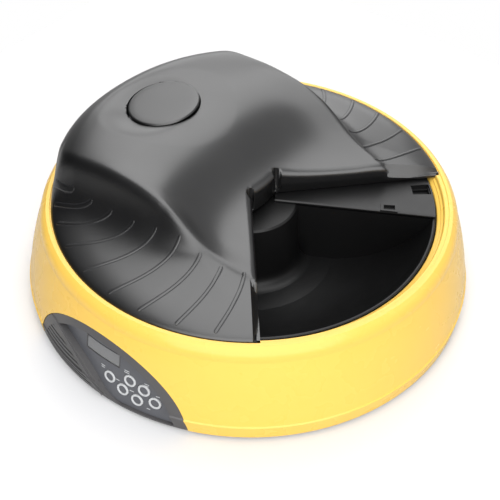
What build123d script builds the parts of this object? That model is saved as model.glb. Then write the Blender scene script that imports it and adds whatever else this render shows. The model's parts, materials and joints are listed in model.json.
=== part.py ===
from build123d import *
import os
from math import cos, exp, hypot, pi, radians, sin, tanh

# Automatic pet feeder: a round battery-powered base, a motor-turned food tray and a lift-off lid.
# All sizes are millimetres.  The origin is on the turning axis at floor level and +Z points up.
# The control panel faces -Y, the mouth of the lid opens towards +X and its raised back is at -X.

os.makedirs("parts", exist_ok=True)

# ---------------------------------------------------------------- driving dimensions
base_radius = 160.0
crease_radius = 161.5
crease_z = 14.0
shell_bottom = 2.6
shell_wall = 2.4
rim_inner_radius = 132.9
rim_lip_bottom = 61.5
seat_z = 71.4

lid_radius = 139.8
lid_wall = 2.2
lid_flange_z = 70.2
mouth_half_angle = 48.5
mouth_apex_radius = 19.2
saddle_front = 87.0
saddle_rise = 33.0
saddle_middle = -10.0
saddle_sweep = 26.0
crest_y = 78.0
dome_top = 121.2
dome_power = 6.46
dome_root = 0.39
wing_edge = 80.0
wing_crest = 88.0
wing_flat_radius = 136.0
flank_run = 6.5

disc_x = -79.5
disc_z = 117.5
disc_tilt = 6.0
disc_radius = 26.3
disc_travel = 2.5

tray_radius = 131.9
tray_rim_z = 65.6
tray_floor_z = 16.6
tray_wall = 2.0
hub_top_z = 66.0
hub_top_radius = 34.0
hub_foot_radius = 37.5
land_start = 31.0
land_angle = 30.0
compartments = 4
compartment_angle = (360 - land_angle) / compartments
divider_wall = 2.4
socket_reach = 99.0
recess_reach = 123.5
recess_turn = 11.4

plate_bottom = 1.3
plate_top = 3.9
case_radius = 28.5
case_top = 51.0
gear_plate_z = 35.0

gear_module = 0.6
output_teeth = 50
wheel_teeth = 24
pinion_teeth = 10
output_distance = gear_module * (output_teeth + pinion_teeth) / 2
stage_distance = gear_module * (wheel_teeth + pinion_teeth) / 2
gear_2_x, gear_2_y = 0.0, output_distance
gear_1_x = gear_2_x + stage_distance * cos(radians(-35))
gear_1_y = gear_2_y + stage_distance * sin(radians(-35))
motor_x = gear_1_x + stage_distance * cos(radians(-80))
motor_y = gear_1_y + stage_distance * sin(radians(-80))

cell_radius = 7.2
cell_length = 50.0
bay_length = 104.4
bay_width = 16.2
bay_top = 18.8
bay_distance = 128.0
bay_azimuths = (40.0, 140.0)

arch_half_width = 67.5
arch_height = 53.5
fascia_half_width = 58.5
fascia_height = 48.0
fascia_foot_radius = 159.0
fascia_tilt = 11.0
button_radius = 4.6
button_travel = 0.8
button_places = [(2.9, 20.2), (7.0, 15.6), (11.2, 12.4), (8.9, 25.6), (12.9, 22.6), (16.0, 15.6)]


# ---------------------------------------------------------------- helpers
def save(piece, name):
    """Label a finished piece and write its STEP file."""
    piece.part.label = name
    export_step(piece.part, f"parts/{name}.step")


def azimuth_plane(angle, radius=0.0, height=0.0):
    """Plane across the radius at an azimuth: local X is tangential, local Y is up, normal is outward."""
    direction = Vector(cos(radians(angle)), sin(radians(angle)), 0)
    return Plane(
        origin=direction * radius + Vector(0, 0, height),
        x_dir=Vector(-direction.Y, direction.X, 0),
        z_dir=direction,
    )


def radial_plane(angle):
    """Upright plane that holds the turning axis: local X runs outward at the azimuth, local Y is up."""
    return Plane(
        origin=(0, 0, 0),
        x_dir=(cos(radians(angle)), sin(radians(angle)), 0),
        z_dir=(sin(radians(angle)), -cos(radians(angle)), 0),
    )


def sector(inner, outer, start, sweep, bottom, top):
    """Ring sector between two radii, two azimuths and two heights."""
    with BuildPart() as wedge:
        with BuildSketch(radial_plane(start)):
            with Locations(((inner + outer) / 2, (bottom + top) / 2)):
                Rectangle(outer - inner, top - bottom)
        revolve(axis=Axis.Z, revolution_arc=sweep)
    return wedge.part


def tube(outer, inner, bottom, top, x=0.0, y=0.0):
    """Upright ring, or a plain cylinder where the inner radius is zero."""
    with BuildPart() as ring:
        with BuildSketch(Plane.XY.offset(bottom)):
            with Locations((x, y)):
                Circle(outer)
                if inner:
                    Circle(inner, mode=Mode.SUBTRACT)
        extrude(amount=top - bottom)
    return ring.part


def block(x0, x1, y0, y1, z0, z1):
    """Box between two corners."""
    with BuildPart() as box:
        with BuildSketch(Plane.XY.offset(z0)):
            with Locations(((x0 + x1) / 2, (y0 + y1) / 2)):
                Rectangle(x1 - x0, y1 - y0)
        extrude(amount=z1 - z0)
    return box.part


def turned(points_to_face):
    """Body of revolution about Z from a function that draws a closed outline in the XZ half plane."""
    with BuildPart() as body:
        with BuildSketch(Plane.XZ):
            with BuildLine():
                points_to_face()
            make_face()
        revolve(axis=Axis.Z)
    return body.part


# ---------------------------------------------------------------- outlines of revolution
def shell_outline(inset):
    """Outer side of the yellow shell, moved inward by an inset, as a closed disc-like section."""
    Line((0, shell_bottom), (base_radius + 0.4 - inset, shell_bottom))
    Line((base_radius + 0.4 - inset, shell_bottom), (crease_radius - inset, crease_z - 0.8))
    Line((crease_radius - inset, crease_z - 0.8), (crease_radius - 0.8 - inset, crease_z + 0.2))
    ThreePointArc((crease_radius - 0.8 - inset, crease_z + 0.2), (154.9 - inset, 42), (148.4 - inset, 62))
    ThreePointArc((148.4 - inset, 62), (146.7 - inset, 68.2 - inset / 2), (143.2 - inset / 2, 72.2 - inset))
    Polyline((143.2 - inset / 2, 72.2 - inset), (0, 72.2 - inset), (0, shell_bottom))


def rim_inside_outline():
    """Everything inside the stepped inner lip of the yellow rim."""
    Polyline(
        (0, shell_bottom - 1), (rim_inner_radius, shell_bottom - 1), (rim_inner_radius, 65.4),
        (133.4, 66.1), (135.3, 67.3), (135.5, 68.1), (136.8, 68.9), (137.0, 69.7), (137.4, 70.9),
        (137.9, seat_z),
        (140.4, seat_z), (140.7, 72.3), (140.7, 80), (0, 80), (0, shell_bottom - 1),
    )


def shell_hollow_outline():
    """Hollow of the yellow shell below its stepped rim."""
    inset = shell_wall
    lip_radius = rim_inner_radius + shell_wall
    Polyline((0, shell_bottom - 1), (base_radius - inset + 0.4, shell_bottom - 1))
    Line((base_radius - inset + 0.4, shell_bottom - 1), (crease_radius - inset - 0.8, crease_z))
    ThreePointArc((crease_radius - inset - 0.8, crease_z), (154.9 - inset, 42), (148.4 - inset, 62))
    Polyline(
        (148.4 - inset, 62), (145.2, 66.6), (142.6, 69.0), (139.4, 68.6), (136.2, 66.0),
        (lip_radius, 64.2), (lip_radius, rim_lip_bottom), (0, rim_lip_bottom), (0, shell_bottom - 1),
    )


def tray_outline():
    """Food tray: closed hub, dished floor and upright rim."""
    foot_z = tray_floor_z + 9
    Line((0, hub_top_z), (hub_top_radius - 1.2, hub_top_z))
    Line((hub_top_radius - 1.2, hub_top_z), (hub_top_radius, hub_top_z - 1.2))
    Line((hub_top_radius, hub_top_z - 1.2), (hub_foot_radius, foot_z))
    ThreePointArc((hub_foot_radius, foot_z), (hub_foot_radius + 3.0, foot_z - 6.3), (47, tray_floor_z))
    Line((47, tray_floor_z), (62, tray_floor_z))
    ThreePointArc((62, tray_floor_z), (98.4, 29.0), (129.9, tray_rim_z))
    Polyline((129.9, tray_rim_z), (tray_radius, tray_rim_z), (tray_radius, 62))
    ThreePointArc((tray_radius, 62), (100.1, 27.2), (62, tray_floor_z - tray_wall))
    Polyline(
        (62, tray_floor_z - tray_wall), (35.3, tray_floor_z - tray_wall), (31.8, hub_top_z - 3),
        (31.0, hub_top_z - 2.2), (0, hub_top_z - 2.2), (0, hub_top_z),
    )


def tray_fill_outline():
    """Space above the tray floor, reaching slightly into the hub, the floor and the rim."""
    Line((hub_top_radius - 0.8, 65.0), (hub_foot_radius - 0.8, tray_floor_z + 9))
    Line((hub_foot_radius - 0.8, tray_floor_z + 9), (hub_foot_radius - 0.8, tray_floor_z - 0.8))
    Line((hub_foot_radius - 0.8, tray_floor_z - 0.8), (62, tray_floor_z - 0.8))
    ThreePointArc((62, tray_floor_z - 0.8), (99.0, 28.3), (130.7, 65.0))
    Line((130.7, 65.0), (hub_top_radius - 0.8, 65.0))


def deck_outline():
    """Fixed pan below the tray, with a flat flange that holds the yellow shell by its lip."""
    Line((29.2, 12.8), (63, 12.8))
    ThreePointArc((63, 12.8), (101.8, 25.4), (134.4, 59.6))
    Polyline((134.4, 59.6), (134.4, rim_lip_bottom), (138.4, rim_lip_bottom), (138.4, 59.4), (136.6, 59.4))
    ThreePointArc((136.6, 59.4), (103.5, 24.0), (63.5, 10.8))
    Polyline((63.5, 10.8), (29.2, 10.8), (29.2, 12.8))


def deck_void_outline():
    """Space above the pan, used to trim what stands under it."""
    Line((29.2, 12.8), (63, 12.8))
    ThreePointArc((63, 12.8), (101.8, 25.4), (134.4, 59.6))
    Polyline((134.4, 59.6), (134.4, 75), (29.2, 75), (29.2, 12.8))


# ---------------------------------------------------------------- lid skin as height formulas
def saddle_height(x, y):
    """Wave-shaped top of the lid: low at the mouth, rising to a nearly flat back."""
    middle = saddle_middle + 25.0 * (y / crest_y) ** 4
    back = max(0.0, -45.0 - x)
    wave = saddle_front + saddle_rise * (1 + tanh((middle - x) / saddle_sweep)) / 2
    return wave - 0.08 * back**2 / (back + 20)


def dome_height(r):
    """Round back of the lid, steep at its edge."""
    share = min(1.0, r / lid_radius)
    return seat_z + (dome_top - seat_z) * (1 - share**dome_power) ** dome_root


def wing_height(x, y):
    """Shallow outer part of the lid, falling towards its edge."""
    climb = (wing_crest - wing_edge) * (wing_flat_radius - hypot(x, y)) / 40
    return min(max(wing_edge + climb, 74.0), 100.0)


def flank_height(x, y):
    """Wing with the concave flank that climbs to the crest line at |y| = crest_y."""
    reach = hypot(x, crest_y)
    crest = min(saddle_height(x, crest_y), dome_height(reach))
    step = max(0.5, crest - wing_edge - (wing_crest - wing_edge) * (wing_flat_radius - reach) / 40)
    inward = crest_y - abs(y)
    return wing_height(x, y) + step * exp(min(inward, 0.0) / flank_run) + 2.2 * max(inward, 0.0)


def skin_face(height, x_count, y_values, shift, drop):
    """Smooth face through a height formula, widened by a shift in y and lowered by a drop."""
    reach = lid_radius + 6
    rows = []
    for i in range(x_count + 1):
        x = -reach + 2 * reach * i / x_count
        rows.append([Vector(x, y, height(x, abs(y) + shift) - drop) for y in y_values])
    return Face.make_surface_from_array_of_points(rows, tol=0.05)


def lid_volume(inset):
    """Everything below the lid skin, drawn in by an inset on every side."""
    flank_half = [0, 25, 45, 60, 68, 73, 76, 78, 80, 82, 85, 88, 92, 97, 104, 114, 126, lid_radius + 6]
    flank_values = [-y for y in flank_half[:0:-1]] + flank_half
    even_values = [-(lid_radius + 6) + (lid_radius + 6) * i / 15 for i in range(31)]
    saddle = skin_face(saddle_height, 40, even_values, 0.0, inset)
    flank = skin_face(flank_height, 40, flank_values, 0.8 * inset, 0.8 * inset)
    shrink = (lid_radius - 1.1 * inset) / lid_radius
    floor_z = seat_z - (1.0 if inset else 0.0)
    dome_steps = (40, 70, 90, 105, 115, 123, 129, 133, 136, 138, 139.2)
    with BuildPart() as volume:
        with BuildSketch(Plane.XZ):
            with BuildLine():
                Spline(
                    [(0, dome_top - inset)]
                    + [(r * shrink, dome_height(r) - inset) for r in dome_steps]
                    + [(lid_radius * shrink, seat_z - inset)],
                    tangents=[(1, 0), (0, -1)],
                )
                Line((lid_radius * shrink, seat_z - inset), (lid_radius * shrink, floor_z - inset - 1))
                Line((lid_radius * shrink, floor_z - inset - 1), (0, floor_z - inset - 1))
                Line((0, floor_z - inset - 1), (0, dome_top - inset))
            make_face()
        revolve(axis=Axis.Z)
        extrude(saddle, amount=90, dir=(0, 0, 1), mode=Mode.SUBTRACT)
        extrude(flank, amount=90, dir=(0, 0, 1), mode=Mode.SUBTRACT)
        if not inset:
            add(tube(lid_radius + 5, 0, seat_z - 5, seat_z), mode=Mode.SUBTRACT)
    return volume.part


# ---------------------------------------------------------------- panel outlines, drawn facing -Y
def panel_plane(distance):
    """Upright plane facing -Y at a distance in front of the axis: local X is +X, local Y is up."""
    return Plane(origin=(0, -distance, 0), x_dir=(1, 0, 0), z_dir=(0, -1, 0))


def arch_prism(half_width, height):
    """Half-elliptic arch standing at floor level, carried through the front wall."""
    with BuildPart() as arch:
        with BuildSketch(panel_plane(120)):
            Ellipse(half_width, height)
            with Locations((0, -height)):
                Rectangle(3 * half_width, 2 * (height + shell_bottom), mode=Mode.SUBTRACT)
        extrude(amount=60)
    return arch.part


def fascia_prism(grow):
    """Opening for the fascia: the arch cut off by the curve of the diagonal rib."""
    with BuildPart() as shape:
        with BuildSketch(panel_plane(120)):
            Ellipse(fascia_half_width + grow, fascia_height + grow)
            with BuildLine():
                Spline(
                    (-70, 40.5 - grow), (-43.6, 33.8 - grow), (-15.3, 23.9 - grow),
                    (-2.9, 15.6 - 1.2 * grow), (8, 6.6 - 1.2 * grow), (22, 4.0 - grow),
                )
                Polyline((22, 4.0 - grow), (80, 4.0 - grow), (80, -70), (-70, -70), (-70, 40.5 - grow))
            make_face(mode=Mode.SUBTRACT)
        extrude(amount=60)
    return shape.part


def grille_prism():
    """Leaf-shaped sound opening below the rib."""
    with BuildPart() as shape:
        with BuildSketch(panel_plane(120)):
            Ellipse(arch_half_width - 6, arch_height - 8)
            with BuildLine():
                Spline((-70, 30), (-52, 27.5), (-24.5, 20.8), (-10, 10.5), (-4, 4.4))
                Polyline((-4, 4.4), (-4, -70), (90, -70), (90, 90), (-70, 90), (-70, 30))
            make_face(mode=Mode.SUBTRACT)
            with Locations((0, -60)):
                Rectangle(200, 2 * 60 + 2 * 4.6, mode=Mode.SUBTRACT)
        extrude(amount=60)
    return shape.part


def rib_prism():
    """Raised diagonal rib between the grille and the fascia."""
    with BuildPart() as shape:
        with BuildSketch(panel_plane(120)):
            with BuildLine() as spine:
                Spline((-55.5, 33.0), (-47, 32.4), (-27, 26.2), (-6.5, 13.2), (4.5, 3.4))
            trace(spine.line, line_width=2.2)
        extrude(amount=60)
    return shape.part


def fascia_ring(outer_offset, inner_offset):
    """Conical layer that follows the fascia, between two offsets from its face."""
    top = 56.0
    rake = top * sin(radians(fascia_tilt)) / cos(radians(fascia_tilt))
    outer = fascia_foot_radius + outer_offset
    inner = fascia_foot_radius + inner_offset
    with BuildPart() as ring:
        with BuildSketch(Plane.XZ):
            with BuildLine():
                Polyline((outer, 0), (outer - rake, top), (inner - rake, top), (inner, 0), (outer, 0))
            make_face()
        revolve(axis=Axis.Z)
    return ring.part


def button_plane(place, offset=0.0):
    """Plane on the fascia at an azimuth right of the panel's middle and a height, facing outward."""
    azimuth, height = place
    angle = radians(azimuth - 90)
    radius = fascia_foot_radius - height * sin(radians(fascia_tilt)) / cos(radians(fascia_tilt))
    lean = radians(fascia_tilt)
    normal = Vector(cos(angle) * cos(lean), sin(angle) * cos(lean), sin(lean))
    origin = Vector(radius * cos(angle), radius * sin(angle), height) + normal * offset
    return Plane(origin=origin, x_dir=Vector(-sin(angle), cos(angle), 0), z_dir=normal)


# ---------------------------------------------------------------- gears
def gear_sketch(teeth):
    """Spur gear outline with slim straight-sided teeth that leave running backlash."""
    pitch_radius = gear_module * teeth / 2
    root_radius = pitch_radius - 1.2 * gear_module
    tip_radius = pitch_radius + 0.9 * gear_module
    pitch = pi * gear_module
    Circle(root_radius)
    with PolarLocations(0, teeth):
        Polygon(
            (root_radius - 0.2, -0.30 * pitch), (pitch_radius, -0.21 * pitch), (tip_radius, -0.09 * pitch),
            (tip_radius, 0.09 * pitch), (pitch_radius, 0.21 * pitch), (root_radius - 0.2, 0.30 * pitch),
            align=None,
        )


def spur(teeth, bottom, top, x, y, turn):
    """Spur gear at a place, turned by an angle in degrees."""
    with BuildPart() as gear:
        with BuildSketch(Plane((x, y, bottom), x_dir=(cos(radians(turn)), sin(radians(turn)), 0))):
            gear_sketch(teeth)
        extrude(amount=top - bottom)
    return gear.part


def mesh_turn(teeth, direction):
    """Turn that puts a tooth gap of a gear on the line towards its partner."""
    return direction + 180 / teeth


# ---------------------------------------------------------------- outer shell and base
mouth = sector(mouth_apex_radius, lid_radius + 10, -mouth_half_angle, 2 * mouth_half_angle, 60, 130)

with BuildPart() as body_shell:
    add(turned(lambda: shell_outline(0)))
    add(turned(shell_hollow_outline), mode=Mode.SUBTRACT)
    add(block(-139.5, -rim_inner_radius - 0.6, -9, 9, 62.5, 68))
    add(turned(rim_inside_outline), mode=Mode.SUBTRACT)
    add(block(-137.6, -130, -6.8, 6.8, 66.6, 75), mode=Mode.SUBTRACT)
    add(arch_prism(arch_half_width, arch_height), mode=Mode.SUBTRACT)
    add(arch_prism(arch_half_width, shell_bottom + 3), mode=Mode.SUBTRACT)
save(body_shell, "body_shell")

with BuildPart() as base_plate:
    add(tube(158.8, 0, plate_bottom, plate_bottom + 1.2))
    add(tube(157.4, 0, plate_bottom + 1.2, plate_top))
    add(tube(157.2, 155.4, plate_top, 7.5))
    for azimuth in bay_azimuths:
        with BuildSketch(Plane.XY.offset(plate_top).rotated((0, 0, azimuth))):
            with Locations((bay_distance, 0)):
                Rectangle(bay_width + 3.0, bay_length + 3.0)
        extrude(amount=bay_top + 1.5 - plate_top)
        with BuildSketch(Plane.XY.rotated((0, 0, azimuth))):
            with Locations((bay_distance, 0)):
                Rectangle(bay_width, bay_length)
        extrude(amount=bay_top, mode=Mode.SUBTRACT)
        with BuildSketch(Plane.XY.rotated((0, 0, azimuth))):
            with Locations((bay_distance, 0)):
                RectangleRounded(bay_width + 6.4, bay_length + 6.4, 3)
        extrude(amount=plate_bottom + 1.4, mode=Mode.SUBTRACT)
    with Locations((0, 0, plate_bottom)):
        with PolarLocations(140, 4):
            Cylinder(9.2, 1.0, align=(Align.CENTER, Align.CENTER, Align.MIN), mode=Mode.SUBTRACT)
        with PolarLocations(92, 6):
            Cylinder(3.6, 1.5, align=(Align.CENTER, Align.CENTER, Align.MIN), mode=Mode.SUBTRACT)
            Cylinder(1.7, 4, align=(Align.CENTER, Align.CENTER, Align.MIN), mode=Mode.SUBTRACT)
        with PolarLocations(31, 3, start_angle=30):
            Cylinder(2.4, 1.2, align=(Align.CENTER, Align.CENTER, Align.MIN), mode=Mode.SUBTRACT)
            Cylinder(1.2, 4, align=(Align.CENTER, Align.CENTER, Align.MIN), mode=Mode.SUBTRACT)
    add(sector(151, 165, -117, 54, plate_bottom + 1.2, 12), mode=Mode.SUBTRACT)
save(base_plate, "base_plate")

with BuildPart() as rubber_feet:
    with PolarLocations(140, 4):
        Cylinder(9.0, plate_bottom + 1.0, align=(Align.CENTER, Align.CENTER, Align.MIN))
    chamfer(rubber_feet.faces().group_by(Axis.Z)[0].edges(), 0.5)
save(rubber_feet, "rubber_feet")

with BuildPart() as inner_deck:
    add(turned(deck_outline))
    with Locations((0, 0, plate_top)):
        with PolarLocations(92, 6):
            Cylinder(4.2, 26, align=(Align.CENTER, Align.CENTER, Align.MIN))
    add(turned(deck_void_outline), mode=Mode.SUBTRACT)
    with Locations((0, 0, plate_top)):
        with PolarLocations(92, 6):
            Cylinder(1.4, 9, align=(Align.CENTER, Align.CENTER, Align.MIN), mode=Mode.SUBTRACT)
    add(block(-138.6, -131, -9.6, 9.6, 58, 65), mode=Mode.SUBTRACT)
save(inner_deck, "inner_deck")

with BuildPart() as base_screws:
    with Locations((0, 0, plate_bottom + 0.1)):
        with PolarLocations(92, 6):
            Cylinder(3.3, 1.4, align=(Align.CENTER, Align.CENTER, Align.MIN))
            Cylinder(1.4, 10, align=(Align.CENTER, Align.CENTER, Align.MIN))
            Box(0.8, 4.4, 0.8, align=(Align.CENTER, Align.CENTER, Align.MIN), mode=Mode.SUBTRACT)
save(base_screws, "base_screws")

# ---------------------------------------------------------------- batteries and their doors
with BuildPart() as batteries:
    for azimuth in bay_azimuths:
        for side in (-1, 1):
            bay = azimuth_plane(azimuth, bay_distance, plate_bottom + 1.6 + cell_radius)
            start = bay.from_local_coords(Vector(0.15 * side, 0, 0))
            along = bay.x_dir * side
            with BuildSketch(Plane(origin=start, z_dir=along)):
                Circle(cell_radius)
            extrude(amount=cell_length - 1.2)
            with BuildSketch(Plane(origin=start + along * (cell_length - 1.2), z_dir=along)):
                Circle(2.7)
            extrude(amount=1.2)
save(batteries, "batteries")

with BuildPart() as battery_contacts:
    for azimuth in bay_azimuths:
        for side in (-1, 1):
            bay = azimuth_plane(azimuth, bay_distance, plate_bottom + 1.6 + cell_radius)
            place = bay.from_local_coords(Vector(side * (bay_length / 2 - 0.25), 0, 0))
            with BuildSketch(Plane(origin=place, x_dir=(0, 0, 1), z_dir=bay.x_dir)):
                Rectangle(12, 12)
            extrude(amount=0.2, both=True)
            with BuildSketch(Plane(origin=place - bay.x_dir * (side * 0.2), z_dir=bay.x_dir * -side)):
                Circle(3.2)
                Circle(2.0, mode=Mode.SUBTRACT)
            extrude(amount=1.4)
save(battery_contacts, "battery_contacts")

for number, azimuth in enumerate(bay_azimuths, start=1):
    with BuildPart() as battery_door:
        with BuildSketch(Plane.XY.offset(plate_bottom + 0.05).rotated((0, 0, azimuth))):
            with Locations((bay_distance, 0)):
                RectangleRounded(bay_width + 6.0, bay_length + 6.0, 2.8)
        extrude(amount=1.3)
        with BuildSketch(Plane.XY.offset(plate_bottom + 0.05).rotated((0, 0, azimuth))):
            with Locations((bay_distance, 0)):
                SlotOverall(14, 5)
        extrude(amount=0.7, mode=Mode.SUBTRACT)
    save(battery_door, f"battery_door_{number}")

# ---------------------------------------------------------------- drive tower in the hub
with BuildPart() as gearbox_case:
    add(tube(33.5, 26.5, plate_top, plate_top + 2.2))
    add(tube(case_radius, 26.5, plate_top, case_top))
    add(tube(27.5, 24.4, gear_plate_z - 1.6, gear_plate_z))
    with Locations((0, 0, plate_top)):
        with PolarLocations(31, 3, start_angle=30):
            Cylinder(1.0, 5, align=(Align.CENTER, Align.CENTER, Align.MIN), mode=Mode.SUBTRACT)
    add(block(-30, -20, -4, 4, plate_top, 12), mode=Mode.SUBTRACT)
save(gearbox_case, "gearbox_case")

with BuildPart() as gear_plate:
    add(tube(26.4, 0, gear_plate_z, gear_plate_z + 2))
    add(tube(2.05, 0, gear_plate_z - 1, gear_plate_z + 3), mode=Mode.SUBTRACT)
    add(tube(3.4, 0, gear_plate_z - 1, gear_plate_z + 3, motor_x, motor_y), mode=Mode.SUBTRACT)
    add(tube(1.0, 0, gear_plate_z - 1, gear_plate_z + 3, gear_1_x, gear_1_y), mode=Mode.SUBTRACT)
    add(tube(1.0, 0, gear_plate_z - 1, gear_plate_z + 3, gear_2_x, gear_2_y), mode=Mode.SUBTRACT)
save(gear_plate, "gear_plate")

with BuildPart() as gearbox_cover:
    add(tube(case_radius, 0, case_top, case_top + 2))
    add(tube(6.5, 0, case_top - 1, case_top + 3), mode=Mode.SUBTRACT)
    add(tube(1.0, 0, case_top - 1, case_top + 1.2, gear_2_x, gear_2_y), mode=Mode.SUBTRACT)
save(gearbox_cover, "gearbox_cover")

with BuildPart() as gear_axles:
    add(tube(1.0, 0, gear_plate_z, 46.1, gear_1_x, gear_1_y))
    add(tube(1.0, 0, gear_plate_z, case_top + 1.2, gear_2_x, gear_2_y))
save(gear_axles, "gear_axles")

with BuildPart() as spindle_bush:
    add(tube(6.5, 4.06, case_top - 0.8, case_top + 2.6))
save(spindle_bush, "spindle_bush")

with BuildPart() as motor:
    add(tube(12, 0, 7.5, gear_plate_z, motor_x, motor_y))
    add(tube(4.5, 0, 6.2, 7.5, motor_x, motor_y))
    add(tube(1.05, 0, 25, gear_plate_z + 0.5, motor_x, motor_y), mode=Mode.SUBTRACT)
    add(block(motor_x - 7, motor_x - 5.6, motor_y - 1.5, motor_y + 1.5, 5.0, 7.5))
    add(block(motor_x + 5.6, motor_x + 7, motor_y - 1.5, motor_y + 1.5, 5.0, 7.5))
save(motor, "motor")

gear_2_to_output = -90.0
gear_1_to_2 = 145.0
motor_to_1 = 100.0

with BuildPart() as motor_pinion:
    add(spur(pinion_teeth, 38, 43, motor_x, motor_y, mesh_turn(pinion_teeth, motor_to_1)))
    add(tube(1.0, 0, 26, 44, motor_x, motor_y))
save(motor_pinion, "motor_pinion")

with BuildPart() as reduction_gear_1:
    add(spur(wheel_teeth, 38.3, 41.3, gear_1_x, gear_1_y, motor_to_1 + 180))
    add(spur(pinion_teeth, 41.3, 45.8, gear_1_x, gear_1_y, mesh_turn(pinion_teeth, gear_1_to_2)))
    add(tube(1.05, 0, 37, 47, gear_1_x, gear_1_y), mode=Mode.SUBTRACT)
save(reduction_gear_1, "reduction_gear_1")

with BuildPart() as reduction_gear_2:
    add(spur(wheel_teeth, 42.3, 45.3, gear_2_x, gear_2_y, gear_1_to_2 + 180))
    add(spur(pinion_teeth, 45.3, 50.2, gear_2_x, gear_2_y, mesh_turn(pinion_teeth, gear_2_to_output)))
    add(tube(1.05, 0, 41, 51, gear_2_x, gear_2_y), mode=Mode.SUBTRACT)
save(reduction_gear_2, "reduction_gear_2")

with BuildPart() as output_gear:
    add(spur(output_teeth, 46.4, 49.8, 0, 0, 90))
    add(tube(7, 0, 44.5, 49.8))
    add(tube(4.0, 0, 44, 51), mode=Mode.SUBTRACT)
save(output_gear, "output_gear")

with BuildPart() as drive_spindle:
    add(tube(2.0, 0, gear_plate_z, gear_plate_z + 2.2))
    add(tube(4.0, 0, gear_plate_z + 2.2, 54.5))
    add(tube(6.0, 0, case_top + 2.7, 55.2))
    add(block(-4.6, 4.6, -4.6, 4.6, 55.2, 62.8))
save(drive_spindle, "drive_spindle")

with BuildPart() as gearbox_screws:
    with Locations((0, 0, plate_bottom + 0.1)):
        with PolarLocations(31, 3, start_angle=30):
            Cylinder(2.2, 1.1, align=(Align.CENTER, Align.CENTER, Align.MIN))
            Cylinder(1.0, 5, align=(Align.CENTER, Align.CENTER, Align.MIN))
save(gearbox_screws, "gearbox_screws")

with BuildPart() as position_sensor:
    add(block(-25, -14, -4, 4, case_top + 2, case_top + 3.2))
    add(block(-22, -18, -2, 2, case_top + 3.2, case_top + 5.0))
save(position_sensor, "position_sensor")

# ---------------------------------------------------------------- food tray and what turns with it
fill = turned(tray_fill_outline)

with BuildPart() as dividers:
    for number in range(1, compartments):
        with BuildSketch(radial_plane(land_start + land_angle + number * compartment_angle)):
            with Locations((84, 40)):
                Rectangle(104, 56)
        extrude(amount=divider_wall / 2, both=True)
    add(fill, mode=Mode.INTERSECT)

with BuildPart() as food_tray:
    add(turned(tray_outline))
    add(dividers.part)
    add(sector(30, 131.5, land_start, land_angle, 12, 64.9) & fill)
    add(sector(40.5, 126, land_start + 2, land_angle - 4, 10, 62.9), mode=Mode.SUBTRACT)
    add(tube(9, 0, 55.6, 64.5))
    add(block(-4.75, 4.75, -4.75, 4.75, 55, 63.0), mode=Mode.SUBTRACT)
    with BuildSketch(radial_plane(land_start + recess_turn)):
        with Locations((recess_reach, 62)):
            Rectangle(12, 8)
    extrude(amount=6, both=True, mode=Mode.SUBTRACT)
save(food_tray, "food_tray")

with BuildPart() as sector_plate:
    add(sector(18, 132, land_start, land_angle, hub_top_z, hub_top_z + 2.0))
    with BuildSketch(radial_plane(land_start).offset(0.9)):
        with Locations((socket_reach, hub_top_z + 1.5)):
            Rectangle(12.4, 3.0)
    extrude(amount=-8.5)
    with BuildSketch(radial_plane(land_start).offset(-3.4)):
        with Locations((socket_reach, hub_top_z + 1.5)):
            Rectangle(8.2, 8.0)
    extrude(amount=1.9, both=True, mode=Mode.SUBTRACT)
    with BuildSketch(radial_plane(land_start + recess_turn)):
        with Locations((recess_reach, hub_top_z + 1)):
            Rectangle(12, 8)
    extrude(amount=6, both=True, mode=Mode.SUBTRACT)
save(sector_plate, "sector_plate")

with BuildPart() as index_magnets:
    for number in range(compartments + 1):
        angle = radians(180 + number * compartment_angle)
        with Locations((20 * cos(angle), 20 * sin(angle), 60.8)):
            Cylinder(2.5, 3.0, align=(Align.CENTER, Align.CENTER, Align.MIN))
save(index_magnets, "index_magnets")

# ---------------------------------------------------------------- lid and its button
disc_plane = Plane(
    origin=(disc_x, 0, disc_z),
    x_dir=(cos(radians(disc_tilt)), 0, sin(radians(disc_tilt))),
    z_dir=(-sin(radians(disc_tilt)), 0, cos(radians(disc_tilt))),
)
lid_skin = lid_volume(0.0)
lid_hollow = lid_volume(lid_wall)

with BuildPart() as edge_walls:
    for side in (-1, 1):
        with BuildSketch(radial_plane(side * (mouth_half_angle + 0.5))):
            with Locations((76, 100)):
                Rectangle(122, 62)
        extrude(amount=2.4, both=True)
    add(sector(mouth_apex_radius - 2.4, mouth_apex_radius + 0.1, -52, 104, 69, 130))
    add(tube(130, 0, 69, 130), mode=Mode.INTERSECT)

with BuildPart() as disc_pocket:
    with BuildSketch(disc_plane.offset(-disc_travel - 5.6)):
        Circle(disc_radius + 2.6)
    extrude(amount=disc_travel + 5.5)
    with BuildSketch(disc_plane.offset(-3.4)):
        Circle(41)
    extrude(amount=4)

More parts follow.
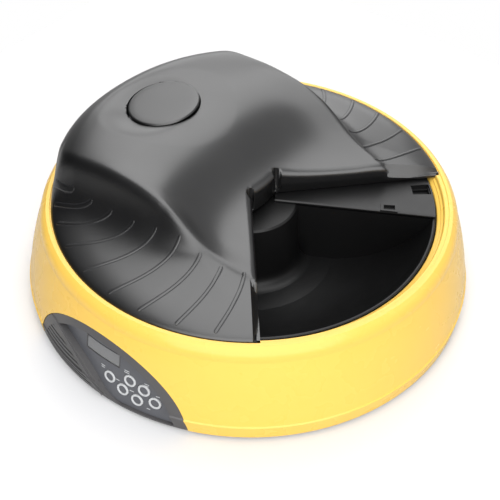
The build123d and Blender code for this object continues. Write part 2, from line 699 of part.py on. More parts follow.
with BuildPart() as lid_shell:
    add(lid_skin)
    add(lid_hollow, mode=Mode.SUBTRACT)
    add(edge_walls.part & lid_skin)
    add(edge_walls.part & tube(128, 0, lid_flange_z, seat_z + 0.5))
    add(disc_pocket.part & lid_skin)
    for side in (-1, 1):
        add(tube(4.5, 0, 98.6, 114, disc_x, side * 20))
        add(tube(1.2, 0, 97, 106, disc_x, side * 20), mode=Mode.SUBTRACT)
    for side in (-1, 1):
        with BuildSketch(radial_plane(48 if side > 0 else -130)):
            with BuildLine():
                ThreePointArc((129.5, 81.2), (137.2, 78.4), (lid_radius, 72.8))
                Polyline((lid_radius, 72.8), (144, 72.8), (144, 88), (129.5, 88), (129.5, 81.2))
            make_face()
        revolve(axis=Axis.Z, revolution_arc=82, mode=Mode.SUBTRACT)
    add(mouth, mode=Mode.SUBTRACT)
    with BuildSketch(disc_plane.offset(-1.0)):
        Circle(disc_radius + 1.2)
    with BuildSketch(disc_plane.offset(3.6)):
        Circle(62)
    loft(mode=Mode.SUBTRACT)
    with BuildSketch(disc_plane.offset(-disc_travel - 3.4)):
        Circle(disc_radius + 0.7)
    extrude(amount=20, mode=Mode.SUBTRACT)
    add(tube(5.2, 0, 100, 130, disc_x), mode=Mode.SUBTRACT)
save(lid_shell, "lid_shell")

with BuildPart() as lid_button:
    with BuildSketch(disc_plane.offset(-3.0)):
        Circle(disc_radius)
    extrude(amount=3.0)
    chamfer(lid_button.faces().sort_by(Axis.Z)[-1].edges(), 0.4)
    add(tube(4.5, 0, 101, disc_z - 2, disc_x))
    with BuildSketch(Plane.XZ):
        with BuildLine():
            Polyline(
                (disc_x - 3.5, 101.5), (disc_x + 3.5, 101.5), (disc_x + 3.5, 99.0), (disc_x - 1.3, 94.2),
                (disc_x - 1.3, 93.2), (disc_x - 3.5, 93.2), (disc_x - 3.5, 101.5),
            )
        make_face()
    extrude(amount=3, both=True)
save(lid_button, "lid_button")

with BuildPart() as latch_bolt:
    add(block(-131.5, disc_x + 7.5, -5, 5, 94.6, 97.4))
    with BuildSketch(Plane.XZ):
        with BuildLine():
            Polyline(
                (disc_x - 7.0, 94), (disc_x - 1.4, 94), (disc_x + 2.6, 98),
                (disc_x - 7.0, 98), (disc_x - 7.0, 94),
            )
        make_face()
    extrude(amount=3.4, both=True, mode=Mode.SUBTRACT)
    add(block(-131.5, -128.7, -5, 5, 69.2, 97.4))
    add(block(-137.0, -128.7, -5, 5, 69.2, 71.0))
    add(block(-137.0, -135.3, -5, 5, 67.2, 71.0))
save(latch_bolt, "latch_bolt")

with BuildPart() as latch_housing:
    add(block(disc_x - 16, disc_x + 12, -8.4, 8.4, 85.5, 98.5))
    add(block(disc_x - 5, disc_x + 5, -25, 25, 96.2, 98.5))
    add(block(disc_x - 30, disc_x + 20, -5.2, 5.2, 94.4, 99), mode=Mode.SUBTRACT)
    add(tube(4.4, 0, 87.4, 99, disc_x - 2.0), mode=Mode.SUBTRACT)
    add(block(disc_x - 4.2, disc_x + 4.0, -3.4, 3.4, 90, 99), mode=Mode.SUBTRACT)
    for side in (-1, 1):
        add(tube(1.4, 0, 95, 99, disc_x, side * 20), mode=Mode.SUBTRACT)
save(latch_housing, "latch_housing")

with BuildPart() as latch_screws:
    for side in (-1, 1):
        add(tube(2.6, 0, 94.8, 96.2, disc_x, side * 20))
        add(tube(1.2, 0, 96.2, 105, disc_x, side * 20))
save(latch_screws, "latch_screws")

with BuildPart() as button_spring:
    with BuildLine() as coil:
        Helix(pitch=1.3, height=5.2, radius=3.0, center=(disc_x - 2.0, 0, 87.8))
    with BuildSketch(Plane(origin=coil.line @ 0, z_dir=coil.line % 0)):
        Circle(0.35)
    sweep(is_frenet=True)
save(button_spring, "button_spring")

# ---------------------------------------------------------------- control panel
front_wall = turned(lambda: shell_outline(3.2))
flush_wall = turned(lambda: shell_outline(0.35))

panel_prism = arch_prism(arch_half_width - 0.5, arch_height - 0.5)

with BuildPart() as slots:
    with BuildSketch(panel_plane(120)):
        with Locations((-34, 17.0)):
            with GridLocations(0, 3.45, 1, 7):
                Rectangle(80, 1.5)
    extrude(amount=60)
    add(grille_prism(), mode=Mode.INTERSECT)

with BuildPart() as control_bezel:
    add(flush_wall & panel_prism)
    add(front_wall, mode=Mode.SUBTRACT)
    add(fascia_ring(1.5, -4.6) & fascia_prism(2.2) & flush_wall)
    add(rib_prism() & fascia_ring(6, -1) & turned(lambda: shell_outline(-0.3)) & panel_prism)
    add(fascia_prism(0.0), mode=Mode.SUBTRACT)
    add(slots.part, mode=Mode.SUBTRACT)
save(control_bezel, "control_bezel")

with BuildPart() as control_fascia:
    add(fascia_ring(0.0, -1.8) & fascia_prism(-0.3))
    with BuildSketch(panel_plane(120)):
        with Locations((0.2, 37)):
            Rectangle(29.4, 10.2)
    extrude(amount=60, mode=Mode.SUBTRACT)
    for place in button_places:
        with BuildSketch(button_plane(place, -6)):
            Circle(button_radius + 0.3)
        extrude(amount=12, mode=Mode.SUBTRACT)
save(control_fascia, "control_fascia")

with BuildPart() as lcd_window:
    with BuildSketch(panel_plane(120)):
        with Locations((0.2, 37)):
            Rectangle(29.2, 10.0)
    extrude(amount=60)
    add(fascia_ring(-0.3, -1.8), mode=Mode.INTERSECT)
save(lcd_window, "lcd_window")

lcd_plane = button_plane((0.1, 37.0), -6.0)
with BuildPart() as lcd_module:
    with BuildSketch(lcd_plane):
        Rectangle(38, 14)
    extrude(amount=2.8)
save(lcd_module, "lcd_module")

for number, place in enumerate(button_places, start=1):
    with BuildPart() as button:
        with BuildSketch(button_plane(place, -2.6)):
            Circle(button_radius)
        extrude(amount=2.4 + button_travel)
        with BuildSketch(button_plane(place, -4.6)):
            Circle(1.6)
        extrude(amount=2.2)
    save(button, f"button_{number}")

with BuildPart() as control_board:
    with BuildSketch(button_plane((9.5, 19), -9)):
        Rectangle(44, 21)
    extrude(amount=-1.6)
    for place in button_places:
        with BuildSketch(button_plane(place, -4.7 - button_travel)):
            Circle(1.8)
        extrude(amount=-3.6)
save(control_board, "control_board")

with BuildPart() as speaker:
    with BuildSketch(azimuth_plane(-105, 147.5, 18)):
        Circle(12.5)
    extrude(amount=-2.0)
    with BuildSketch(azimuth_plane(-105, 145.5, 18)):
        Circle(11.0)
    extrude(amount=-3.5, taper=25)
    with BuildSketch(azimuth_plane(-105, 142.0, 18)):
        Circle(7.0)
    extrude(amount=-4.0)
save(speaker, "speaker")
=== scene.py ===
import json
from math import asin, atan2, cos, degrees, exp, hypot, pi, radians, sin, sqrt, tanh

import bmesh
import bpy
from mathutils import Matrix, Vector


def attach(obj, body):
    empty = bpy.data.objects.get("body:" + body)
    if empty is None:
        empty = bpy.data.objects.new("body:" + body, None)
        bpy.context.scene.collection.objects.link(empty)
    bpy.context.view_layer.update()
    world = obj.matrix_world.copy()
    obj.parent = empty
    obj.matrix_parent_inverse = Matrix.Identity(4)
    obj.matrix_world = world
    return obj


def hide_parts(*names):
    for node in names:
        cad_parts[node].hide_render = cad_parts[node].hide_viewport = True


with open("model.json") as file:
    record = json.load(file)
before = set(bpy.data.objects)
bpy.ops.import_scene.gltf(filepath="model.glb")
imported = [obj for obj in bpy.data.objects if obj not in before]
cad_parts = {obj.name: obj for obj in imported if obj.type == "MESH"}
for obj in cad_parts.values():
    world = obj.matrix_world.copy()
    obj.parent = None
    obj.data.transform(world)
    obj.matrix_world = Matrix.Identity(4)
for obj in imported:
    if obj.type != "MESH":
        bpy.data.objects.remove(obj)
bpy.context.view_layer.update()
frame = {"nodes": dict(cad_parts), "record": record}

# ------------------------------------------------------------------ driving sizes, millimetres
MM = 0.001
LID_RADIUS = 139.8
SEAT_Z = 71.4
FLANGE_Z = 69.0
FLANGE_SEAT_Z = 70.5
MOUTH_HALF_ANGLE = 48.5
APEX_RADIUS = 19.2
DISC_X, DISC_Y, DISC_Z = -77.6, -2.8, 116.2
DISC_TILT = 8.5
DISC_HIGH_SIDE = 38.0
DISC_RADIUS = 26.0
POCKET_RADIUS = 27.0
FASCIA_FOOT_RADIUS = 159.0
FASCIA_TILT = 11.0
BUTTON_PLACES = [(2.9, 20.2), (7.0, 15.6), (11.2, 12.4), (8.9, 25.6), (12.9, 22.6), (16.0, 15.6)]


# ------------------------------------------------------------------ finishes
class Wire:
    """One value inside a finish, so that shader maths reads as plain expressions."""

    def __init__(self, finish, socket):
        self.finish = finish
        self.socket = socket

    def maths(self, operation, first, second=0.0):
        return self.finish.node("ShaderNodeMath", {"operation": operation}, {0: first, 1: second})

    def __add__(self, other):
        return self.maths("ADD", self, other)

    __radd__ = __add__

    def __mul__(self, other):
        return self.maths("MULTIPLY", self, other)

    __rmul__ = __mul__

    def __gt__(self, other):
        return self.maths("GREATER_THAN", self, other)

    def fraction(self):
        return self.maths("FRACT", self)


class Finish:
    """A procedural material with one method that makes every node."""

    def __init__(self, name):
        self.material = bpy.data.materials.new(name)
        self.material.use_nodes = True
        self.tree = self.material.node_tree
        self.surface = self.tree.nodes["Principled BSDF"]

    def node(self, kind, settings=None, inputs=None, output=0):
        made = self.tree.nodes.new(kind)
        for key, value in (settings or {}).items():
            setattr(made, key, value)
        for key, value in (inputs or {}).items():
            self.feed(made.inputs[key], value)
        return Wire(self, made.outputs[output])

    def feed(self, socket, value):
        if isinstance(value, Wire):
            self.tree.links.new(value.socket, socket)
        else:
            socket.default_value = value

    def set(self, **values):
        for name, value in values.items():
            self.feed(self.surface.inputs[name.replace("_", " ")], value)

    def place(self):
        return self.node("ShaderNodeTexCoord", output=3)

    def noise(self, scale, detail=3.0, roughness=0.55, vector=None):
        return self.node(
            "ShaderNodeTexNoise", {"noise_dimensions": "3D"},
            {"Vector": vector or self.place(), "Scale": scale, "Detail": detail, "Roughness": roughness},
        )

    def mix(self, factor, first, second):
        return self.node(
            "ShaderNodeMix", {"data_type": "RGBA"}, {"Factor": factor, 6: first, 7: second}, output=2,
        )

    def bump(self, height, strength, distance):
        return self.node(
            "ShaderNodeBump", None, {"Height": height, "Strength": strength, "Distance": distance},
        )


def rgba(red, green, blue):
    return (red, green, blue, 1.0)


def moulded(name, colour, roughness, grain=0.25, spread=0.12, grain_size=2600.0, level=0.5):
    """Moulded plastic: fine spark-eroded grain, slight tone drift and uneven gloss."""
    finish = Finish(name)
    drift = finish.noise(22.0, 4.0)
    darker = rgba(*(channel * (1 - spread) for channel in colour))
    lighter = rgba(*(min(1.0, channel * (1 + spread)) for channel in colour))
    finish.set(
        Base_Color=finish.mix(drift, darker, lighter),
        Roughness=roughness - 0.05 + 0.10 * finish.noise(60.0, 2.0),
        Normal=finish.bump(finish.noise(grain_size, 2.0), grain, 0.00006),
        Specular_IOR_Level=level,
    )
    return finish.material


def metal(name, colour, roughness, streak=(1.0, 1.0, 1.0)):
    """Metal with brushed or rolled streaks."""
    finish = Finish(name)
    stretched = finish.node("ShaderNodeMapping", None, {"Vector": finish.place(), "Scale": streak})
    lines = finish.noise(900.0, 3.0, vector=stretched)
    finish.set(
        Base_Color=finish.mix(lines, rgba(*(c * 0.88 for c in colour)), rgba(*colour)),
        Roughness=roughness - 0.06 + 0.12 * lines,
        Metallic=1.0,
        Normal=finish.bump(lines, 0.12, 0.00003),
    )
    return finish.material


def shell_finish():
    """Glossy yellow plastic with a slight orange peel and a faint drift of tone and gloss."""
    finish = Finish("shell_yellow_gloss")
    drift = finish.noise(9.0, 3.0)
    finish.set(
        Base_Color=finish.mix(drift, rgba(0.92, 0.575, 0.100), rgba(0.95, 0.610, 0.115)),
        Roughness=0.25 + 0.05 * finish.noise(35.0, 3.0),
        Normal=finish.bump(finish.noise(420.0, 2.0), 0.03, 0.00012),
        Coat_Weight=0.12,
        Coat_Roughness=0.12,
        Specular_IOR_Level=0.35,
    )
    return finish.material


def lid_finish():
    """Black moulded lid with a fine satin grain that scatters the light softly."""
    finish = Finish("lid_black_satin")
    drift = finish.noise(14.0, 4.0)
    finish.set(
        Base_Color=finish.mix(drift, rgba(0.0045, 0.0045, 0.005), rgba(0.006, 0.006, 0.0065)),
        Roughness=0.29 + 0.08 * finish.noise(45.0, 3.0),
        Normal=finish.bump(finish.noise(2400.0, 2.0), 0.22, 0.00005),
        Specular_IOR_Level=1.0,
    )
    return finish.material


def display_finish():
    """Unlit display: grey glass over a barely darker matrix of cells."""
    finish = Finish("display_grey_glass")
    across = finish.node("ShaderNodeSeparateXYZ", None, {"Vector": finish.place()})
    rows = finish.node("ShaderNodeSeparateXYZ", None, {"Vector": finish.place()}, output=2)
    columns = (across * 1450.0).fraction() > 0.88
    lines = (rows * 1450.0).fraction() > 0.88
    mask = columns.maths("MAXIMUM", columns, lines)
    finish.set(
        Base_Color=finish.mix(mask * 0.35, rgba(0.185, 0.188, 0.192), rgba(0.150, 0.153, 0.157)),
        Roughness=0.22 + 0.05 * finish.noise(80.0, 2.0),
        Coat_Weight=0.2,
        Coat_Roughness=0.08,
    )
    return finish.material


def board_finish():
    """Green solder mask with faint copper tracks below it."""
    finish = Finish("board_green_mask")
    tracks = finish.node(
        "ShaderNodeTexVoronoi", {"feature": "DISTANCE_TO_EDGE"}, {"Vector": finish.place(), "Scale": 260.0},
    )
    finish.set(
        Base_Color=finish.mix(tracks > 0.10, rgba(0.05, 0.20, 0.07), rgba(0.015, 0.11, 0.035)),
        Roughness=0.34 + 0.10 * finish.noise(70.0, 2.0),
        Normal=finish.bump(tracks > 0.10, 0.15, 0.00003),
    )
    return finish.material


def cell_finish():
    """Battery wrap: blue-grey foil whose tone drifts lighter and darker in soft noise patches."""
    finish = Finish("cell_wrap_foil")
    bands = finish.noise(55.0, 2.0)
    finish.set(
        Base_Color=finish.mix(bands, rgba(0.05, 0.10, 0.19), rgba(0.09, 0.15, 0.24)),
        Roughness=0.28 + 0.10 * finish.noise(120.0, 2.0),
        Metallic=0.35,
        Normal=finish.bump(finish.noise(300.0, 2.0), 0.06, 0.00005),
    )
    return finish.material


FINISHES = {
    "shell_yellow": shell_finish(),
    "lid_black": lid_finish(),
    "tray_black": moulded("tray_black_satin", (0.0038, 0.0038, 0.004), 0.40, level=0.35),
    "cover_black": moulded("cover_black_satin", (0.0055, 0.0055, 0.0058), 0.38, level=0.42),
    "base_black": moulded("base_black_matte", (0.022, 0.020, 0.018), 0.55),
    "gearbox_black": moulded("gearbox_black_matte", (0.035, 0.035, 0.038), 0.50),
    "latch_black": moulded("latch_black_matte", (0.030, 0.030, 0.032), 0.48),
    "rubber": moulded("foot_rubber", (0.022, 0.022, 0.022), 0.82, grain=0.5, grain_size=1500.0),
    "screw_steel": metal("screw_zinc", (0.60, 0.60, 0.58), 0.32),
    "axle_steel": metal("axle_ground_steel", (0.66, 0.66, 0.66), 0.22, (1.0, 1.0, 0.15)),
    "spring_steel": metal("spring_wire", (0.58, 0.58, 0.58), 0.28),
    "contact_steel": metal("contact_nickel", (0.72, 0.71, 0.68), 0.25),
    "magnet_nickel": metal("magnet_nickel", (0.74, 0.74, 0.73), 0.16),
    "motor_can": metal("motor_can_steel", (0.64, 0.64, 0.66), 0.30, (1.0, 1.0, 0.10)),
    "bush_brass": metal("bush_brass", (0.72, 0.52, 0.22), 0.28, (0.3, 0.3, 1.0)),
    "gear_white": moulded("gear_natural_nylon", (0.80, 0.78, 0.72), 0.42, spread=0.04),
    "cell_wrap": cell_finish(),
    "sensor_black": moulded("sensor_black", (0.02, 0.02, 0.022), 0.45),
    "bezel_grey": moulded("bezel_dark_grey", (0.078, 0.076, 0.078), 0.40, level=0.6),
    "fascia_grey": moulded("fascia_slate_grey", (0.088, 0.091, 0.102), 0.36, spread=0.06, level=0.6),
    "lcd_grey": display_finish(),
    "lcd_frame": moulded("display_frame_black", (0.02, 0.02, 0.02), 0.5),
    "board_green": board_finish(),
    "speaker_black": moulded("speaker_black_cone", (0.02, 0.02, 0.02), 0.6, grain=0.4, grain_size=900.0),
    "button_pale": moulded("button_pale_grey", (0.54, 0.55, 0.56), 0.42, spread=0.05),
}

for entry in frame["record"]["subparts"]:
    part = frame["nodes"][entry["node"]]
    part.data.materials.clear()
    part.data.materials.append(FINISHES[entry["material_slot"]])


# ------------------------------------------------------------------ mesh helpers
def piece(name, mesh, finish, body, replaced=(), crease=38):
    """Turn a finished bmesh, drawn in millimetres, into a named piece that rides on a body."""
    bmesh.ops.scale(mesh, vec=(MM, MM, MM), verts=mesh.verts)
    for edge in mesh.edges:
        edge.smooth = edge.calc_face_angle(0) < radians(crease)
    data = bpy.data.meshes.new(name)
    mesh.to_mesh(data)
    mesh.free()
    made = bpy.data.objects.new(name, data)
    bpy.context.scene.collection.objects.link(made)
    for polygon in data.polygons:
        polygon.use_smooth = True
    data.materials.append(FINISHES[finish])
    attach(made, body)
    if replaced:
        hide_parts(*replaced)
    return made


def thicken(made, thickness):
    """Give an open skin a wall below its face."""
    wall = made.modifiers.new("wall", "SOLIDIFY")
    wall.thickness = thickness * MM
    wall.offset = -1.0


def face_outwards(mesh, axis, sign):
    """Turn every face of loose strips so that its normal points along an axis."""
    for face in mesh.faces:
        face.normal_update()
        if face.normal[axis] * sign < 0:
            face.normal_flip()


def outline(mesh, points):
    """Chain of vertices joined by edges."""
    verts = [mesh.verts.new(point) for point in points]
    return verts, [mesh.edges.new(pair) for pair in zip(verts, verts[1:])]


# ------------------------------------------------------------------ lid skin as height formulas
CREST_Y = 82.5
CREST_BEND_X = -5.0
CREST_PULL_IN = 0.0015
CREST_SPREAD = 0.05
SADDLE_FRONT_Z = 83.7
SADDLE_RISE = 36.3
SADDLE_SIDE_LOSS = 3.4
SADDLE_HALF_WIDTH = 80.0
SADDLE_MIDDLE_X = -10.0
SADDLE_SWEEP = 25.0
SADDLE_RAMP = 26.0
SADDLE_BACK_X = -45.0
SADDLE_BACK_FALL = 0.08
DOME_RISE = 49.8
DOME_FULLNESS = 6.46
DOME_BACK_LOSS = 1.2
DOME_BACK_SPREAD = 0.40
DOME_ROUNDING = 0.39
WING_EDGE_Z = 76.8
WING_EDGE_RADIUS = 136.0
WING_RISE, WING_RUN = 8.0, 40.0
RIM_ROUND_START = 118.0
BEAD_HEIGHT = 1.5
BEAD_INSET = 2.6
BEAD_OUTER_WIDTH = 4.4
BEAD_INNER_WIDTH = 11.0
BEAD_FRONT_X, BEAD_FRONT_FADE = 58.0, 4.0
BEAD_BACK_X, BEAD_BACK_FADE = -62.0, 8.0
DISH_X, DISH_Y = -71.5, -1.8
DISH_RADIUS = 47.5
DISH_DEPTH = 2.9
DISH_ROUNDING = 1.4
FLANK_RUN = 6.5
FLANK_BLEND = 3.0
FLANK_SLOPE = 2.2
DOME_BLEND = 3.2
CREST_BLEND = 8.5
CREST_BACK_BLEND = 3.0
CREST_BLEND_FADE = 9.0
POCKET_RIM_DROP = 1.1
POCKET_RIM_SLOPE = 0.40
POCKET_BLEND = 2.4


def soft_min(first, second, width):
    """The lower of two heights, rounded over where they come closer than a width."""
    near = max(width - abs(first - second), 0.0) / width
    return min(first, second) - near * near * width / 4


def fall_off(beyond, run):
    """Smooth step from 1, well before a place, to 0, well beyond it."""
    return 1 / (1 + exp(beyond / run))


def crest_line(x):
    """Distance of the crest from the middle plane."""
    ahead = max(0.0, x - CREST_BEND_X)
    behind = max(0.0, CREST_BEND_X - x)
    return CREST_Y - CREST_PULL_IN * ahead**2 + CREST_SPREAD * behind


def saddle_height(x, y):
    """Middle of the lid, which sweeps up from the mouth to the raised back."""
    aside = (abs(y) / SADDLE_HALF_WIDTH) ** 4
    middle = SADDLE_MIDDLE_X + SADDLE_SWEEP * aside
    back = max(0.0, SADDLE_BACK_X - x)
    rise = SADDLE_RISE - SADDLE_SIDE_LOSS * aside
    swept = SADDLE_FRONT_Z + rise * (1 + tanh((middle - x) / SADDLE_RAMP)) / 2
    return swept - SADDLE_BACK_FALL * back**2 / (back + 20)


def dome_height(r, turn=0.0):
    """Round back of the lid, steep at its edge and a little fuller at the sides than right behind."""
    share = min(1.0, r / LID_RADIUS)
    behind = exp(-(((abs(turn) - pi) / DOME_BACK_SPREAD) ** 2))
    return SEAT_Z + DOME_RISE * (1 - share ** (DOME_FULLNESS - DOME_BACK_LOSS * behind)) ** DOME_ROUNDING


def wing_height(r):
    """Flat slope of a wing, lowest at the rim."""
    return WING_EDGE_Z + WING_RISE * (WING_EDGE_RADIUS - r) / WING_RUN


def rim_share(r):
    """How much of a wing's rise above the seat is left where it rounds over to the rim."""
    near = (min(max(r, RIM_ROUND_START), LID_RADIUS) - RIM_ROUND_START) / (LID_RADIUS - RIM_ROUND_START)
    return sqrt(max(0.0, 1 - near**3))


def crest_bead(x, y):
    """Low rolled bead that runs along the crest and fades towards both ends."""
    fade = fall_off(x - BEAD_FRONT_X, BEAD_FRONT_FADE) * fall_off(BEAD_BACK_X - x, BEAD_BACK_FADE)
    beyond = abs(y) - crest_line(x) + BEAD_INSET
    width = BEAD_OUTER_WIDTH if beyond > 0 else BEAD_INNER_WIDTH
    return BEAD_HEIGHT * fade * exp(-((beyond / width) ** 2))


def disc_plane(x, y):
    """Height of the release disc's plane, and the distance in it from the disc's middle."""
    turn = radians(DISC_HIGH_SIDE)
    lean = radians(DISC_TILT)
    along = (x - DISC_X) * cos(turn) + (y - DISC_Y) * sin(turn)
    across = (y - DISC_Y) * cos(turn) - (x - DISC_X) * sin(turn)
    return DISC_Z + along * sin(lean) / cos(lean), hypot(along / cos(lean), across)


def dish_depth(x, y):
    """Shallow round dish around the release disc."""
    near = max(0.0, 1 - (hypot(x - DISH_X, y - DISH_Y) / DISH_RADIUS) ** 2)
    return DISH_DEPTH * near**DISH_ROUNDING


def lid_height(x, y):
    """Saddle, dome and wings run into each other, with the dish and the disc's pocket sunk in them."""
    r = hypot(x, y)
    line = crest_line(x)
    line_r = hypot(x, line)
    rise = min(saddle_height(x, line), dome_height(line_r)) - wing_height(line_r)
    step = (rise + hypot(rise, FLANK_BLEND)) / 2
    outward = abs(y) - line
    wing = wing_height(r) + step * exp(-max(outward, 0.0) / FLANK_RUN) + FLANK_SLOPE * max(-outward, 0.0)
    wing = SEAT_Z + (wing - SEAT_Z) * rim_share(r)
    top = soft_min(saddle_height(x, y) + crest_bead(x, y), dome_height(r, atan2(y, x)), DOME_BLEND)
    blend = CREST_BLEND + CREST_BACK_BLEND * fall_off(x - BEAD_BACK_X, CREST_BLEND_FADE)
    height = soft_min(top, wing, blend) - dish_depth(x, y)
    plane, away = disc_plane(x, y)
    pocket_rim = plane - POCKET_RIM_DROP + POCKET_RIM_SLOPE * max(0.0, away - POCKET_RADIUS)
    return soft_min(height, pocket_rim, POCKET_BLEND)


# ------------------------------------------------------------------ lid
MOUTH_EDGE = radians(MOUTH_HALF_ANGLE)
MOUTH_COLUMNS = 14
LID_COLUMNS = 344
LID_WALL = 2.0
EDGE_STEPS = [0.0, 0.15, 0.5, 1.0, 1.7, 2.6, 3.6, 4.4, 4.6, 6.5, 8.2]
RIM_STEPS = [11.0, 9.2, 7.4, 5.8, 4.4, 3.2, 2.2, 1.4, 0.8, 0.45, 0.2, 0.06, 0.0]
SADDLE_ROLL_WIDTH = 4.4
SADDLE_ROLL_DROP = 4.3
WING_CUT = 4.5
WING_DROP = 8.6
WING_CUT_CURVE = 0.85
EDGE_CHANGE_WIDTH = 1.6
NOTCH_RADIUS = 2.4
NOTCH_SLOPE = 0.8
NOTCH_FLOOR_Z = SEAT_Z + 2
NOSE_BULGE = 1.2
SEAT_RADIUS = 129.5
SEAT_SLOPE = 3.0
POCKET_FLOOR_DROP = 6.2
RING_SNAP = 0.75
EDGE_LIP_STEP = 1.0
EDGE_LIP_DROP = 0.2


def lid_rings():
    """Radii of the lid's rings, closest together at the apex of the mouth and at the rim."""
    inner = [2.8, 5.6, 8.4] + [APEX_RADIUS - step for step in EDGE_STEPS[::-1]]
    inner += [APEX_RADIUS + step for step in EDGE_STEPS[1:]]
    rim = [LID_RADIUS - step for step in RIM_STEPS]
    count = 76
    pitch = (rim[0] - inner[-1]) / count
    return inner + [inner[-1] + pitch * i for i in range(1, count)] + rim


def lid_turn(column, r):
    """Azimuth of a column, which keeps its distance from a straight edge of the mouth beside it."""
    if column <= MOUTH_COLUMNS:
        return MOUTH_EDGE * column / MOUTH_COLUMNS
    beside = column - MOUTH_COLUMNS
    reach = max(r, APEX_RADIUS)
    if beside < len(EDGE_STEPS):
        return MOUTH_EDGE + asin(EDGE_STEPS[beside] / reach)
    start = MOUTH_EDGE + asin(EDGE_STEPS[-1] / reach)
    share = (beside - len(EDGE_STEPS) + 1) / (LID_COLUMNS / 2 - MOUTH_COLUMNS - len(EDGE_STEPS) + 1)
    return start + (pi - start) * share


def nose_reach(y):
    """Distance of the nearly straight nose between the two corners from the turning axis."""
    half = APEX_RADIUS * sin(MOUTH_EDGE)
    return APEX_RADIUS * cos(MOUTH_EDGE) + NOSE_BULGE * max(0.0, 1 - (y / half) ** 2)


def flatten_nose(point):
    """Pull a point of the mouth's apex back in line with the nose."""
    r = hypot(point.x, point.y)
    turn = atan2(point.y, point.x)
    if 0.1 < r < APEX_RADIUS + 0.01 and abs(turn) < MOUTH_EDGE:
        reach = nose_reach(APEX_RADIUS * sin(turn)) / cos(turn)
        share = r / APEX_RADIUS
        pulled = r * (1 - share + share * reach / APEX_RADIUS)
        point.x, point.y = pulled * cos(turn), pulled * sin(turn)


def mouth_distances(x, y):
    """Distance in plan from the edge of the mouth, and from the nearer corner beside its apex."""
    r = hypot(x, y)
    beyond = abs(atan2(y, x)) - MOUTH_EDGE
    along = r * cos(beyond)
    away = abs(r * sin(beyond))
    corner = hypot(APEX_RADIUS - along, away)
    if beyond < -0.0001:
        return abs(nose_reach(y) - x), corner
    return (away if along >= APEX_RADIUS else corner), corner


def edge_drop(x, y, distance):
    """How far the skin rolls down beside the mouth: softly on the saddle, from a crease on the wings."""
    share = max(0.0, 1 - distance / SADDLE_ROLL_WIDTH)
    saddle = SADDLE_ROLL_DROP * (1 - sqrt(1 - share**2))
    wing = WING_DROP * (1 - min(distance, WING_CUT) / WING_CUT) ** WING_CUT_CURVE
    outward = abs(y) - crest_line(x)
    mixed = min(1.0, max(0.0, 0.5 + outward / EDGE_CHANGE_WIDTH))
    return saddle + (wing - saddle) * mixed


def lid_skin(x, y):
    """Height of the finished skin: formulas, rolled edges and a relief notch at each corner."""
    distance, corner = mouth_distances(x, y)
    height = max(lid_height(x, y) - edge_drop(x, y, distance), SEAT_Z)
    notch = min(1.0, max(0.0, (NOTCH_RADIUS + NOTCH_SLOPE - corner) / NOTCH_SLOPE))
    return height + (NOTCH_FLOOR_Z - height) * notch * notch * (3 - 2 * notch)


def step_into_lid(point):
    """Direction in plan from the edge of the mouth into the lid."""
    turn = atan2(point.y, point.x)
    direction = Vector((0, 0, 0))
    if hypot(point.x, point.y) < APEX_RADIUS + 0.01:
        direction -= Vector((1, 0, 0))
    if abs(turn) > MOUTH_EDGE - 0.0001:
        side = 1 if turn > 0 else -1
        direction += Vector((-sin(MOUTH_EDGE), side * cos(MOUTH_EDGE), 0))
    return direction


def flange_bottom(r):
    """Lower edge of the wall beside the mouth, which steps up where the lid lies on its seat."""
    return FLANGE_Z + (FLANGE_SEAT_Z - FLANGE_Z) * min(1.0, max(0.0, (r - SEAT_RADIUS) / SEAT_SLOPE))


def sink_pocket(point):
    """Give a point of the skin its height; the skin drops to a floor below the release disc."""
    away = disc_plane(point.x, point.y)[1]
    if abs(away - POCKET_RADIUS) < RING_SNAP:
        middle = Vector((DISC_X, DISC_Y))
        spread = (point.xy - middle) * (POCKET_RADIUS / away)
        point.x, point.y = middle.x + spread.x, middle.y + spread.y
    point.z = lid_skin(point.x, point.y)
    plane, away = disc_plane(point.x, point.y)
    if away < POCKET_RADIUS - 0.1:
        point.z = plane - POCKET_FLOOR_DROP


def make_lid():
    """Spun disc of rings and columns, opened at the mouth, pressed to its heights and flanged there."""
    mesh = bmesh.new()
    verts, edges = outline(mesh, [(r, 0, 0) for r in [0.0] + lid_rings()])
    bmesh.ops.spin(
        mesh, geom=verts + edges, cent=(0, 0, 0), axis=(0, 0, 1), angle=2 * pi, steps=LID_COLUMNS,
        use_merge=True,
    )
    bmesh.ops.remove_doubles(mesh, verts=mesh.verts, dist=0.001)
    for vert in mesh.verts:
        r = hypot(vert.co.x, vert.co.y)
        turn = atan2(vert.co.y, vert.co.x)
        column = round(abs(turn) * LID_COLUMNS / (2 * pi))
        placed = lid_turn(column, r) * (1 if turn >= 0 else -1)
        vert.co = (r * cos(placed), r * sin(placed), 0)
    open_faces = []
    for face in mesh.faces:
        middle = face.calc_center_median()
        if hypot(middle.x, middle.y) > APEX_RADIUS and abs(atan2(middle.y, middle.x)) < MOUTH_EDGE:
            open_faces.append(face)
    bmesh.ops.delete(mesh, geom=open_faces, context="FACES")
    for vert in mesh.verts:
        flatten_nose(vert.co)
        sink_pocket(vert.co)
    face_up(mesh)
    mouth = [
        edge for edge in mesh.edges
        if edge.is_boundary and min(hypot(v.co.x, v.co.y) for v in edge.verts) < LID_RADIUS - 0.01
    ]
    for wall_step, to_flange in ((EDGE_LIP_STEP, False), (0.0, True)):
        grown = bmesh.ops.extrude_edge_only(mesh, edges=mouth)["geom"]
        for vert in (item for item in grown if isinstance(item, bmesh.types.BMVert)):
            vert.co += step_into_lid(vert.co) * wall_step
            vert.co.z = flange_bottom(vert.co.xy.length) if to_flange else vert.co.z - EDGE_LIP_DROP
        mouth = [item for item in grown if isinstance(item, bmesh.types.BMEdge) and item.is_boundary]
    return mesh


